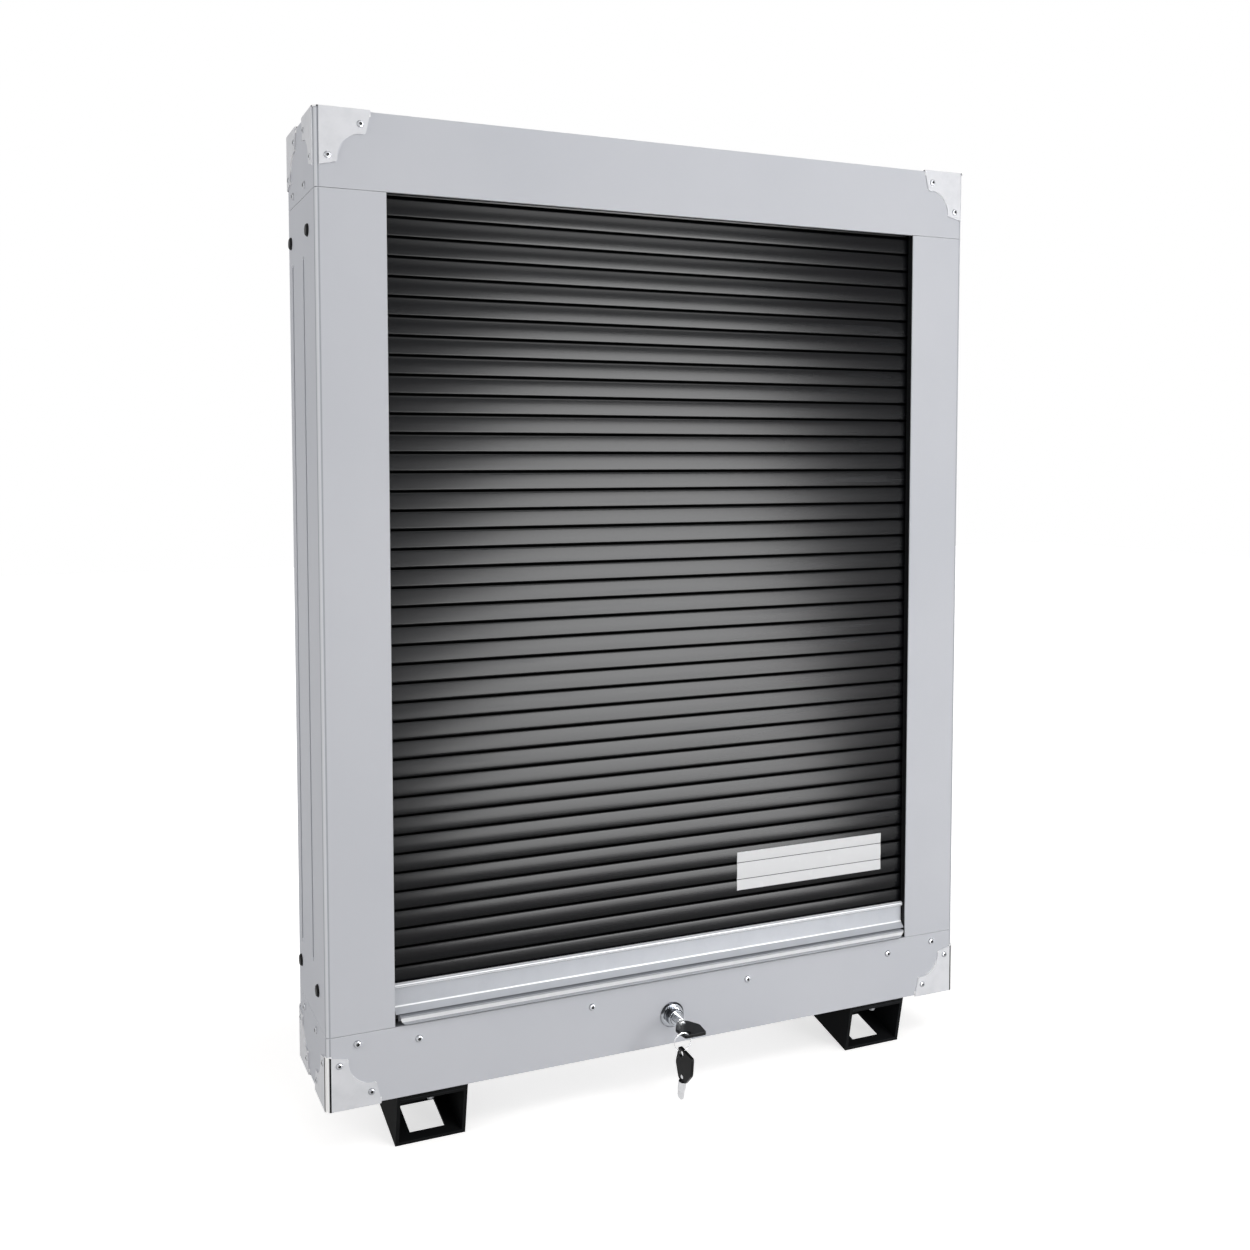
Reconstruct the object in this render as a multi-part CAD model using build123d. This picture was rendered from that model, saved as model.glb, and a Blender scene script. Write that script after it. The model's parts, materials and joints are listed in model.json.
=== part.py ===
from build123d import *
from math import cos, radians, tan
import os

# Wall-mounted tool cabinet with a slatted shutter. Millimetres, +Z up, front facing -Y.
# The origin is the centre of the four wall screws, on the wall plane behind the back sheet.

# Cabinet shell, folded from steel sheet
width = 622
height = 800
depth = 118
sheet = 1.2
corner_radius = 4
header_height = 61
rail_height = 60
stile_width = 57
seam_gap = 0.3
rear_return = 48
fascia_play = 0.6
back_sheet_thickness = 1.2
back_sheet_margin = 6
wall_screw_spacing_x = 400
wall_screw_spacing_z = 660
wall_screw_radius = 4.25

# Share of a thickness taken off at broken edges, and how far a cut runs past a face
edge_break = 0.6
cut = 1

# Pressed beads and blind plugs on the side walls
bead_width = 6
bead_depth = 1.5
bead_end_margin = 46
bead_end_slant = 2
bead_setbacks = (50, 98)
plug_setbacks = (30, 103)
plug_end_margin = 29
plug_hole_radius = 4.5
plug_head_radius = 5.3
plug_head_height = 2
plug_stem_length = 7
plug_slot = 1.5
plug_play = 0.1

# Shutter slats and the track that they run in
slat_pitch = 15.75
slat_groove = 1.6
slat_face_lift = 0.4
slat_crown = 0.5
slat_edge_drop = 0.6
slat_wall = 1.1
slat_depth = 5.9
slat_setback = 8
hook_wall = 0.9
hook_play = 0.3
hook_reach = 1.8
track_play = 0.35
track_wall = 1.8
track_reach = 11
track_end_play = 1.5
track_bend_radius = 32
track_top_gap = 0.8
track_joint_drop = 8
rear_track_setback = 12
track_run_out = 30

# Bottom bar of the shutter, an aluminium extrusion with a lifting lip
bar_setback = 5
bar_wall = 1.8
bar_height = 31.4
bar_stop_gap = 0.3
bar_slat_gap = 0.6
bar_seal_height = 1.5
bar_end_play = 0.8
bar_bead_radius = 2.3
bar_ridge_height = 14
bar_slope_setback = 1
lip_height = 9
lip_reach = 3.2
lip_inset = 4
lip_groove = 0.8
lip_end_radius = 6
lip_rim = 1.2
lip_scoop = 0.9
glide_height = 28
glide_play = 0.3
glide_round = 2
open_lip_gap = 20

# Inner side panels, floor shelf and slotted tool panel
liner_flange = 20
panel_gap = 1
panel_top_gap = 6
panel_flange = 12
panel_slot_width = 8
panel_slot_height = 30
panel_column_pitch = 50
panel_row_pitch = 80
panel_rim = 36
panel_floor_gap = 2
panel_screw_drop = 60

# Corner protectors
protector_sheet = 1.2
protector_arm = 18
protector_scoop = 19
protector_toe = 3.5
protector_slant = 4.5
protector_slit = 3.6
protector_nip = 1.2

# Screws through the shell
screw_head_radius = 3.2
screw_head_height = 1.6
screw_head_taper = 25
screw_shank_radius = 1.6
screw_length = 8
screw_play = 0.1
head_sides = 12
shank_sides = 8
rail_screw_drop = 13
rail_end_screw_drop = 8.5
rail_screw_spacing = 156
rail_end_screw_inset = 25.5
side_screw_setbacks = (40.6, 91)

# Brackets below the cabinet
bracket_width = 61
bracket_sheet = 3
bracket_inset = 58
bracket_nose_setback = 9
bracket_nose_drop = 46
bracket_rise_angle = 12.5
bracket_lip = 2
bracket_window_width = 31
bracket_window_start = 18
bracket_window_end = 55
bracket_screw_setbacks = (9, 92)
bracket_screw_radius = 3
bracket_screw_head_radius = 5.2
bracket_screw_head_height = 3.4
bracket_nut_across = 10
bracket_nut_height = 4
bracket_nut_cap_radius = 4.4
bracket_nut_cap_height = 3.5
bracket_nut_cap_taper = 30
bracket_hole_play = 0.1

# Cam lock in the bottom rail
lock_height = 27
lock_flange_radius = 11.5
lock_flange_thickness = 2.5
lock_collar_radius = 7.8
lock_collar_length = 9.5
lock_thread_radius = 8
lock_thread_length = 7
lock_hole_play = 0.1
lock_nut_across = 20
lock_nut_thickness = 3.4
plug_radius = 5.8
plug_running_play = 0.08
plug_stand = 0.8
cam_thickness = 1.6
cam_width = 12
cam_length = 24
cam_play = 0.5
cam_screw_head_radius = 4
cam_screw_head_height = 2.6
cam_screw_radius = 2
cam_screw_depth = 3.2
strike_sheet = 1.5
strike_width = 13
strike_offset = 20
strike_slot_play = 0.8

# Keys and their ring
key_head_width = 24
key_head_neck = 10
key_head_length = 28
key_head_thickness = 2.8
key_head_taper = 20.5
key_head_nip = 1.2
key_shoulder = 12
key_head_gap = 9
key_neck_radius = 3.6
key_neck_play = 0.3
key_blade_width = 8
key_blade_thickness = 1.8
key_blade_play = 0.1
key_blade_reach = 9
key_blade_root = 11
key_ring_radius = 8
key_ring_offset = 10.9
key_ring_drop = 5.5
key_wire_radius = 0.6
key_wire_sides = 6
key_hole_radius = 3.3
key_hole_offset = 5.8
key_hole_setback = 23.5
spare_play = 0.4
spare_turn = 7
spare_lean = 12

# Levels and planes that several pieces share
top = height / 2
bottom = -height / 2
front = -depth
shell_rear = -back_sheet_thickness
shell_middle = (front + shell_rear) / 2
shell_depth = shell_rear - front
seam_top = top - header_height
sill = bottom + rail_height
opening_half = width / 2 - stile_width
track_gap = slat_depth + 2 * track_play
track_front = front + slat_setback + slat_depth / 2
track_rear = -rear_track_setback
track_top = top - sheet - track_top_gap - track_wall - track_gap / 2
bend_start = track_top - track_bend_radius
track_joint = bend_start - track_joint_drop
liner_x = opening_half + track_reach
slat_length = 2 * (liner_x - track_wall - track_end_play)
slat_face_height = slat_pitch - slat_groove - slat_face_lift
slat_base = sill + bar_height + bar_slat_gap
slat_count = int((bend_start - slat_base) / slat_pitch)
shutter_travel = seam_top - sill - lip_height - open_lip_gap
protector_length = protector_arm + protector_scoop + protector_toe + protector_slant
panel_face = track_rear - track_gap / 2 - track_wall - panel_gap - sheet
lock_z = bottom + lock_height
cam_face = front + lock_thread_length + cam_play


def block(x, y, z):
    """Solid between two limits on each axis."""
    size = Box(x[1] - x[0], y[1] - y[0], z[1] - z[0])
    return Pos((x[0] + x[1]) / 2, (y[0] + y[1]) / 2, (z[0] + z[1]) / 2) * size


def strip(y, z):
    """Rectangle between two limits on each axis of a section drawn in the YZ plane."""
    return Pos((y[0] + y[1]) / 2, (z[0] + z[1]) / 2) * Rectangle(y[1] - y[0], z[1] - z[0])


def along_x(section, length):
    """Extrusion of a YZ section, centred on the cabinet's middle."""
    return extrude(Plane.YZ * section, length / 2, both=True)


def bar_end(radius, sides):
    """Section of a bar: round, or with a few flats where small screws and their holes repeat."""
    return RegularPolygon(radius, sides) if sides else Circle(radius)


def rod_x(x, y, z, radius, sides=0):
    """Bar along X between two limits."""
    at = Plane(origin=(x[0], y, z), x_dir=(0, 1, 0), z_dir=(1, 0, 0))
    return extrude(at * bar_end(radius, sides), x[1] - x[0])


def rod_y(x, y, z, radius, sides=0):
    """Bar along Y between two limits."""
    at = Plane(origin=(x, y[0], z), x_dir=(1, 0, 0), z_dir=(0, 1, 0))
    return extrude(at * bar_end(radius, sides), y[1] - y[0])


def rod_z(x, y, z, radius, sides=0):
    """Bar along Z between two limits."""
    return Pos(x, y, z[0]) * extrude(bar_end(radius, sides), z[1] - z[0])


def mirrored(shape):
    """The left-hand twin of a right-hand piece."""
    return mirror(shape, Plane.YZ)


def shell_outline(inset):
    """Plan of the cabinet with rounded upright corners, drawn in by the inset."""
    plan = RectangleRounded(width - 2 * inset, shell_depth - 2 * inset, corner_radius - inset)
    return Pos(0, shell_middle) * plan


def shell_ring():
    """Plan of the folded sheet that runs round the cabinet."""
    return shell_outline(0) - shell_outline(sheet)


def tray(tray_height):
    """Folded tray, open on top, with an open panel in its rear wall inside a return on each edge."""
    body = extrude(shell_outline(0), tray_height)
    body -= Pos(0, 0, sheet) * extrude(shell_outline(sheet), tray_height)
    half = width / 2 - rear_return
    body -= block((-half, half), (shell_rear - 2 * sheet, cut), (rear_return, tray_height + cut))
    return body


def side_screw_holes(level):
    """Shank holes through both end walls of a tray."""
    reach = width / 2 + cut
    holes = []
    for setback in side_screw_setbacks:
        radius = screw_shank_radius + screw_play
        holes.append(rod_x((-reach, reach), front + setback, level, radius, shank_sides))
    return holes


def header_rail():
    """Top tray, turned upside down, with its fascia edge folded inwards."""
    body = Pos(0, 0, top) * mirror(tray(header_height), Plane.XY)
    return_depth = bar_setback + bar_wall / 2 - bar_bead_radius - fascia_play
    body += block((-opening_half, opening_half), (front, front + return_depth), (seam_top, seam_top + sheet))
    for hole in side_screw_holes(seam_top + rail_end_screw_drop):
        body -= hole
    return body


def bottom_rail():
    """Bottom tray with the lock hole and the holes of the front, side and bracket screws."""
    body = Pos(0, 0, bottom) * tray(rail_height - seam_gap)
    body -= rod_y(0, (front - cut, front + 2 * sheet), lock_z, lock_thread_radius + lock_hole_play)
    for x, z in rail_screw_points():
        body -= rod_y(x, (front - cut, front + 2 * sheet), z, screw_shank_radius + screw_play, shank_sides)
    for hole in side_screw_holes(sill - rail_end_screw_drop):
        body -= hole
    for x, y in bracket_screw_points():
        radius = bracket_screw_radius + bracket_hole_play
        body -= rod_z(x, y, (bottom - cut, bottom + 2 * sheet), radius, shank_sides)
    return body


def plug_points():
    """Depth and height of each blind plug on a side wall."""
    points = []
    for setback in plug_setbacks:
        points.append((front + setback, seam_top - plug_end_margin))
        points.append((front + setback, sill + plug_end_margin))
    return points


def bead_outline(length, across):
    """Outline of a pressed bead, a long rectangle with slanted corners."""
    outline = Rectangle(length, across)
    return chamfer(outline.vertices(), bead_end_slant)


def side_column():
    """Right-hand stile, side wall and rear return in one folded sheet, with two pressed beads."""
    low = sill
    high = seam_top - seam_gap
    body = Pos(0, 0, low) * extrude(shell_ring(), high - low)
    body &= block((opening_half, width), (front - cut, cut), (low, high))
    bead_length = high - low - 2 * bead_end_margin
    for setback in bead_setbacks:
        wall = Plane(origin=(width / 2, front + setback, (low + high) / 2), x_dir=(0, 0, 1), z_dir=(-1, 0, 0))
        body += extrude(wall * bead_outline(bead_length, bead_width + sheet), bead_depth + sheet)
        body -= extrude(wall * bead_outline(bead_length - sheet, bead_width), bead_depth)
    for y, z in plug_points():
        body -= rod_x((width / 2 - 2 * sheet, width / 2 + cut), y, z, plug_hole_radius, shank_sides)
    return body


def hole_plugs():
    """Black plastic plugs in the side walls, a flanged head on a split stem."""
    plugs = []
    for y, z in plug_points():
        face = width / 2
        plug = rod_x((face, face + plug_head_height), y, z, plug_head_radius, head_sides)
        plug = chamfer(plug.faces().sort_by(Axis.X)[-1].edges(), plug_head_height * edge_break)
        plug += rod_x((face - plug_stem_length, face), y, z, plug_hole_radius - plug_play, shank_sides)
        along = (face - plug_stem_length - cut, face - 2 * sheet)
        across = (y - plug_head_radius, y + plug_head_radius)
        plug -= block(along, across, (z - plug_slot / 2, z + plug_slot / 2))
        plugs += [plug, mirrored(plug)]
    return plugs


def back_sheet():
    """Flat sheet that closes the back, with notched corners and the four wall screw holes."""
    plate = Rectangle(width - 2 * back_sheet_margin, height - 2 * back_sheet_margin)
    for x in (-1, 1):
        for z in (-1, 1):
            notch = 2 * (protector_length + seam_gap)
            plate -= Pos(x * width / 2, z * height / 2) * Rectangle(notch, notch)
            screw_place = Pos(x * wall_screw_spacing_x / 2, z * wall_screw_spacing_z / 2)
            plate -= screw_place * Circle(wall_screw_radius)
    return extrude(Plane.XZ * plate, back_sheet_thickness)


def side_liner():
    """Right-hand inner side panel, a folded channel that carries the tracks and the tool panel."""
    low = sill
    high = top - sheet - track_top_gap
    inner_front = front + sheet
    inner_rear = shell_rear - sheet
    body = block((liner_x, liner_x + sheet), (inner_front, inner_rear), (low, high))
    body += block((liner_x, liner_x + liner_flange), (inner_front, inner_front + sheet), (low, high))
    body += block((liner_x, liner_x + liner_flange), (inner_rear - sheet, inner_rear), (low, high))
    for y, z in panel_screw_points():
        body -= rod_x((liner_x - cut, liner_x + 2 * sheet), y, z, screw_shank_radius + screw_play)
    return body


def floor_shelf():
    """Floor of the tool space and sill of the shutter, with the slot that the strike drops through."""
    half = liner_x + liner_flange
    body = block((-half, half), (front + sheet, shell_rear - sheet), (sill - sheet, sill))
    x, y = strike_room()
    body -= block((x[0], x[1]), (y[0], y[1]), (sill - 2 * sheet, sill + cut))
    return body


def front_track():
    """Right-hand front track, an extrusion with a jamb leg in front of the slat groove."""
    groove_front = track_front - track_gap / 2
    channel = Rectangle(track_reach, track_gap + 2 * track_wall)
    section = Pos((opening_half + liner_x) / 2, track_front) * channel
    groove = track_reach - track_wall
    section -= Pos(opening_half + groove / 2, track_front) * Rectangle(groove, track_gap)
    jamb = groove_front - track_wall - front - sheet
    section += Pos(opening_half + track_wall / 2, front + sheet + jamb / 2) * Rectangle(track_wall, jamb)
    foot = Rectangle(track_reach, track_wall)
    section += Pos((opening_half + liner_x) / 2, front + sheet + track_wall / 2) * foot
    return Pos(0, 0, sill) * extrude(section, track_joint - sill)


def rear_track():
    """Right-hand track over the top and down behind the tool panel, a channel swept along its run."""
    x = (opening_half + liner_x) / 2
    run = 2 * track_bend_radius * (radians(90) - 1) + track_rear - track_front
    low = bend_start - (shutter_travel - run) - track_run_out
    path = FilletPolyline(
        (x, track_front, track_joint),
        (x, track_front, track_top),
        (x, track_rear, track_top),
        (x, track_rear, low),
        radius=track_bend_radius,
    )
    section = Pos(x, track_front, track_joint) * Rectangle(track_reach, track_gap + 2 * track_wall)
    groove = track_reach - track_wall
    section -= Pos(opening_half + groove / 2, track_front, track_joint) * Rectangle(groove, track_gap)
    return sweep(section, path)


def hook(shoulder, base):
    """Section of the upright hook, from its shoulder into the slat whose base is at the level given."""
    neck = (hook_neck(), hook_neck() + hook_wall)
    barb = base + slat_face_lift + hook_wall
    section = strip(neck, (shoulder, barb + hook_wall))
    return section + strip((neck[0], neck[0] + hook_reach), (barb, barb + hook_wall))


def hook_neck():
    """Depth of the front of the hook's neck, behind the middle of the slat."""
    return slat_crown + slat_wall + hook_play - slat_depth / 2


def slat():
    """One slat: a crowned face, a hook on its top edge and the pocket for the hook below it."""
    low = slat_face_lift
    high = low + slat_face_height
    middle = (low + high) / 2
    crest = -slat_depth / 2
    edge = crest + slat_crown
    rolled = edge + slat_edge_drop
    outside = ThreePointArc((edge, low + slat_edge_drop), (crest, middle), (edge, high - slat_edge_drop))
    outside += Polyline((edge, high - slat_edge_drop), (rolled, high), (edge + slat_wall, high))
    inside = ThreePointArc((edge + slat_wall, high), (crest + slat_wall, middle), (edge + slat_wall, low))
    inside += Polyline((edge + slat_wall, low), (rolled, low), (edge, low + slat_edge_drop))
    section = make_face(outside + inside)
    back = slat_depth / 2
    neck_back = hook_neck() + hook_wall
    shoulder = high - hook_wall
    section += strip((edge + slat_wall / 2, neck_back), (shoulder, shoulder + hook_wall))
    section += hook(shoulder, slat_pitch)
    ledge = (slat_face_lift, slat_face_lift + hook_wall - hook_play)
    roof = ledge[1] + hook_wall + 2 * hook_play
    section += strip((neck_back + hook_play, back), ledge)
    section += strip((hook_neck() + hook_reach + hook_play, back), (ledge[0], roof + hook_wall))
    section += strip((crest + slat_wall, back), (roof, roof + hook_wall))
    return along_x(section, slat_length)


def slat_curtain():
    """All the slats, each hung on the hook of the one below it."""
    one = slat()
    slats = []
    for number in range(slat_count):
        slats.append(Pos(0, track_front, slat_base + number * slat_pitch) * one)
    return slats


def bar_levels():
    """Lowest and highest edge of the bar's hollow body."""
    low = sill + bar_stop_gap + bar_seal_height
    return low, sill + bar_height


def bar_planes():
    """Front and rear plane of the bar's hollow body."""
    return front + bar_setback + bar_wall / 2, track_front + slat_depth / 2


def bottom_bar():
    """Bottom bar: hollow body open below, top bead, sloping face and a scooped, round-ended lip."""
    low, high = bar_levels()
    face, back = bar_planes()
    section = strip((face, back), (low, high))
    section -= strip((face + bar_wall, back - bar_wall), (low - cut, high - bar_wall))
    section += Pos(face, high + bar_wall / 2) * Circle(bar_bead_radius)
    section += Pos(track_front) * hook(high - hook_wall, slat_base)
    ridge = sill + bar_ridge_height
    knee = sill + lip_height + lip_groove
    crest = (face - bar_wall / 2, ridge)
    foot = (front + bar_slope_setback, knee)
    section += make_face(Polyline((face, ridge + bar_wall), crest, foot, (face, knee), close=True))
    body = along_x(section, 2 * (opening_half - bar_end_play))
    lip_section = strip((front - lip_reach, face + bar_wall), (low, sill + lip_height))
    lip_section -= strip((front - lip_reach + bar_wall, face), (low - cut, sill + lip_height - bar_wall))
    nose = front - lip_reach
    scoop = (nose + lip_scoop, low + lip_rim + lip_scoop)
    lip_section -= make_face(Polyline((nose, sill + lip_height - lip_rim), scoop, (nose, low + lip_rim), close=True))
    lip_half = opening_half - lip_inset
    for side in (-1, 1):
        x = sorted((side * lip_half, side * opening_half))
        body -= block(x, (nose, face + bar_wall), (low - cut, sill + lip_height))
    top_edge = Plane(origin=(0, nose, sill + lip_height), x_dir=(1, 0, 0), z_dir=(0, 1, 0))
    outline = RectangleRounded(2 * lip_half, 2 * (sill + lip_height - low), lip_end_radius)
    return body + (along_x(lip_section, 2 * lip_half) & extrude(top_edge * outline, face + bar_wall - nose))


def bar_seal():
    """Rubber strip under the front wall of the bar."""
    low, high = bar_levels()
    face, back = bar_planes()
    section = strip((face, face + bar_wall), (sill + bar_stop_gap, low))
    return along_x(section, 2 * (opening_half - lip_inset))


def bar_glide():
    """Right-hand plastic end piece of the bar, a tongue that runs in the front track."""
    low, high = bar_levels()
    face, back = bar_planes()
    inner = opening_half - bar_end_play
    tongue = (track_front - slat_depth / 2 + glide_play, track_front + slat_depth / 2 - glide_play)
    outer = slat_length / 2
    body = block((inner, outer), tongue, (low, low + glide_height))
    body = fillet(body.edges().filter_by(Axis.X), glide_round)
    spigot = (face + bar_wall, back - bar_wall)
    level = (low + bar_wall, low + glide_height - 2 * bar_wall)
    return body + block((inner - track_reach, inner), spigot, level)


def strike_room():
    """Slot in the floor shelf that clears the strike."""
    face, back = bar_planes()
    half = strike_width / 2 + strike_slot_play
    nose = cam_face - 2 * strike_slot_play
    rear = back - bar_wall + strike_slot_play
    return (strike_offset - half, strike_offset + half), (nose, rear)


def bar_strike():
    """Steel hook plate fixed in the bar: it drops behind the cam and turns forwards below it."""
    low, high = bar_levels()
    face, back = bar_planes()
    x = (strike_offset - strike_width / 2, strike_offset + strike_width / 2)
    rear = back - bar_wall
    foot = lock_z - cam_width / 2 - cam_play - strike_sheet
    body = block(x, (rear - strike_sheet, rear), (foot, high - 2 * bar_wall))
    return body + block(x, (cam_face - strike_slot_play, rear), (foot, foot + strike_sheet))


def panel_levels():
    """Lowest and highest edge of the tool panel."""
    return sill + panel_floor_gap, bend_start - panel_top_gap


def panel_screw_points():
    """Depth and height of each screw through the tool panel's side flanges."""
    low, high = panel_levels()
    y = panel_face - panel_flange / 2
    return [(y, low + panel_screw_drop), (y, (low + high) / 2), (y, high - panel_screw_drop)]


def tool_panel():
    """Slotted panel for tool hooks, with a flange folded forwards along each side."""
    low, high = panel_levels()
    slot = Rectangle(panel_slot_width, panel_slot_height)
    columns = int((2 * liner_x - 2 * panel_rim) / panel_column_pitch) + 1
    rows = int((high - low - 2 * panel_rim) / panel_row_pitch) + 1
    grid = GridLocations(panel_column_pitch, panel_row_pitch, columns, rows)
    plate = Rectangle(2 * liner_x, high - low) - [place * slot for place in grid]
    body = extrude(Pos(0, panel_face + sheet, (low + high) / 2) * (Plane.XZ * plate), sheet)
    for side in (-1, 1):
        x = sorted((side * liner_x, side * (liner_x - sheet)))
        body += block(x, (panel_face - panel_flange, panel_face + sheet), (low, high))
    for y, z in panel_screw_points():
        body -= rod_x((-liner_x - cut, liner_x + cut), y, z, screw_shank_radius + screw_play, shank_sides)
    return body


def screw(length):
    """Pan-head screw along +Z, with the underside of its head on the XY plane."""
    head = extrude(RegularPolygon(screw_head_radius, head_sides), screw_head_height, taper=screw_head_taper)
    return head + Pos(0, 0, -length) * extrude(RegularPolygon(screw_shank_radius, shank_sides), length)


def panel_screws():
    """Screws that hold the tool panel's flanges to the side liners."""
    screws = []
    for y, z in panel_screw_points():
        one = Pos(liner_x - sheet, y, z) * Rot(0, -90, 0) * screw(screw_length)
        screws += [one, mirrored(one)]
    return screws


def rail_screw_points():
    """Place of each screw on the front of the bottom rail."""
    points = []
    for side in (-1, 1):
        points.append((side * (width / 2 - rail_end_screw_inset), sill - rail_end_screw_drop))
        points.append((side * rail_screw_spacing / 2, sill - rail_screw_drop))
        points.append((side * rail_screw_spacing * 3 / 2, sill - rail_screw_drop))
    return points


def rail_screws():
    """Screws on the front of the bottom rail and on the ends of both rails."""
    screws = []
    for x, z in rail_screw_points():
        screws.append(Pos(x, front, z) * Rot(90, 0, 0) * screw(screw_length))
    for setback in side_screw_setbacks:
        for z in (sill - rail_end_screw_drop, seam_top + rail_end_screw_drop):
            one = Pos(width / 2, front + setback, z) * Rot(0, 90, 0) * screw(screw_length)
            screws += [one, mirrored(one)]
    return screws


def protector_lobe():
    """Outline of one flange of a protector: two slant-ended arms round a quarter-circle scoop."""
    long = protector_length
    arm = protector_arm
    low = -protector_sheet
    start = arm + protector_scoop
    edge = Polyline((start, arm), (long - protector_slant, arm), (long, low), (low, low))
    edge += Polyline((low, low), (low, long), (arm, long - protector_slant), (arm, start))
    edge += RadiusArc((arm, start), (start, arm), -protector_scoop)
    lobe = make_face(edge)
    toes = lobe.vertices().filter_by(lambda corner: max(corner.X, corner.Y) > start)
    return chamfer(toes, protector_nip)


def corner_protector(slit_axis):
    """Protector for a corner at the origin, with the cabinet on the positive side of every axis."""
    wall = protector_sheet
    long = protector_length + wall
    reach = corner_radius + wall
    skin = block((-wall, long), (-wall, long), (-wall, long))
    room = block((0, 2 * long), (0, 2 * long), (0, 2 * long))
    skin = fillet(skin.edges().filter_by(Axis.Z).sort_by(SortBy.DISTANCE)[0], reach)
    skin -= fillet(room.edges().filter_by(Axis.Z).sort_by(SortBy.DISTANCE)[0], corner_radius)
    lobe = protector_lobe()
    flat = extrude(Plane(origin=(0, 0, -wall), z_dir=(0, 0, 1)) * lobe, reach)
    flat += extrude(Plane(origin=(0, reach - wall, 0), x_dir=(1, 0, 0), z_dir=(0, -1, 0)) * lobe, reach)
    flat += extrude(Plane(origin=(-wall, 0, 0), x_dir=(0, 1, 0), z_dir=(1, 0, 0)) * lobe, reach)
    strip_width = (-2 * wall, protector_slit)
    full = (0, 2 * long)
    if slit_axis == "Z":
        slit = block(strip_width, strip_width, full)
    else:
        slit = block(full, (0, protector_slit), (-2 * wall, 0))
    return (skin & flat) - slit


def corner_protectors():
    """Eight protectors by name: an open upright edge at the top, a slit underside at the bottom."""
    pieces = {}
    for level, slit_axis in (("top", "Z"), ("bottom", "X")):
        for face in ("front", "rear"):
            for side in ("left", "right"):
                piece = corner_protector(slit_axis)
                if side == "right":
                    piece = mirror(piece, Plane.YZ)
                if face == "rear":
                    piece = mirror(piece, Plane.XZ)
                if level == "top":
                    piece = mirror(piece, Plane.XY)
                x = width / 2 if side == "right" else -width / 2
                y = shell_rear if face == "rear" else front
                z = top if level == "top" else bottom
                pieces[f"corner_protector_{level}_{face}_{side}"] = Pos(x, y, z) * piece
    return pieces


def bracket_middle():
    """Distance of a bracket's middle from the cabinet's middle."""
    return width / 2 - bracket_inset - bracket_width / 2


def bracket():
    """Right-hand steel bracket: gussets, a rising plate with a window, a top flange with a lip."""
    rise = tan(radians(bracket_rise_angle))
    nose = front + bracket_nose_setback
    nose_z = bottom - bracket_nose_drop
    rear_z = nose_z + rise * (shell_rear - nose)
    corners = ((front, bottom), (nose, nose_z), (shell_rear, rear_z), (shell_rear, bottom))
    body = along_x(make_face(Polyline(*corners, close=True)), bracket_width)
    lift = bracket_sheet / cos(radians(bracket_rise_angle))
    rear = shell_rear - bracket_sheet
    mouth = front - bracket_sheet
    under = bottom - bracket_sheet
    floor_front = nose_z + lift + rise * (mouth - nose)
    floor_rear = nose_z + lift + rise * (rear - nose)
    hollow = Polyline((mouth, under), (mouth, floor_front), (rear, floor_rear), (rear, under), close=True)
    body -= along_x(make_face(hollow), bracket_width - 2 * bracket_sheet)
    half = bracket_width / 2 - bracket_sheet
    body += block((-half, half), (front, front + bracket_sheet), (under - bracket_lip, under))
    window = bracket_window_width / 2
    span = (front + bracket_window_start, front + bracket_window_end)
    body -= block((-window, window), span, (2 * bottom, under - bracket_sheet))
    for setback in bracket_screw_setbacks:
        radius = bracket_screw_radius + bracket_hole_play
        body -= rod_z(0, front + setback, (under - cut, bottom + cut), radius)
    return Pos(bracket_middle(), 0, 0) * body


def bracket_screw_points():
    """Plan position of each screw through the brackets and the bottom rail."""
    points = []
    for side in (-1, 1):
        for setback in bracket_screw_setbacks:
            points.append((side * bracket_middle(), front + setback))
    return points


def bracket_screws():
    """Screws through the bottom rail, each with a cap nut under its bracket's top flange."""
    under = bottom - bracket_sheet
    inside = bottom + sheet
    screws = []
    for x, y in bracket_screw_points():
        head_top = inside + bracket_screw_head_height
        body = rod_z(x, y, (inside, head_top), bracket_screw_head_radius, head_sides)
        body = chamfer(body.faces().sort_by(Axis.Z)[-1].edges(), bracket_screw_head_height * edge_break)
        body += rod_z(x, y, (under, inside), bracket_screw_radius, shank_sides)
        nut = RegularPolygon(bracket_nut_across / 2, 6, major_radius=False)
        body += Pos(x, y, under) * extrude(nut, -bracket_nut_height)
        cap = RegularPolygon(bracket_nut_cap_radius, head_sides)
        cap_foot = Pos(x, y, under - bracket_nut_height)
        body += cap_foot * mirror(extrude(cap, bracket_nut_cap_height, taper=bracket_nut_cap_taper), Plane.XY)
        screws.append(body)
    return screws


def lock_face():
    """Depth of the front end of the lock's collar."""
    return front - lock_collar_length


def lock_body():
    """Lock housing: round flange, front collar, threaded barrel and the bore for the plug."""
    flange = rod_y(0, (front - lock_flange_thickness, front), lock_z, lock_flange_radius)
    flange = chamfer(flange.faces().sort_by(Axis.Y)[0].edges(), lock_flange_thickness * edge_break)
    body = flange + rod_y(0, (lock_face(), front), lock_z, lock_collar_radius)
    body = chamfer(body.faces().sort_by(Axis.Y)[0].edges(), plug_stand)
    body += rod_y(0, (front, front + lock_thread_length), lock_z, lock_thread_radius)
    through = (lock_face() - cut, front + lock_thread_length + cut)
    return body - rod_y(0, through, lock_z, plug_radius + plug_running_play)


def lock_nut():
    """Hexagon nut that clamps the lock behind the rail."""
    face = front + sheet
    at = Plane(origin=(0, face, lock_z), x_dir=(1, 0, 0), z_dir=(0, 1, 0))
    nut = extrude(at * RegularPolygon(lock_nut_across / 2, 6, major_radius=False), lock_nut_thickness)
    through = (face - cut, face + 2 * lock_nut_thickness)
    return nut - rod_y(0, through, lock_z, lock_thread_radius + lock_hole_play)


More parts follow.
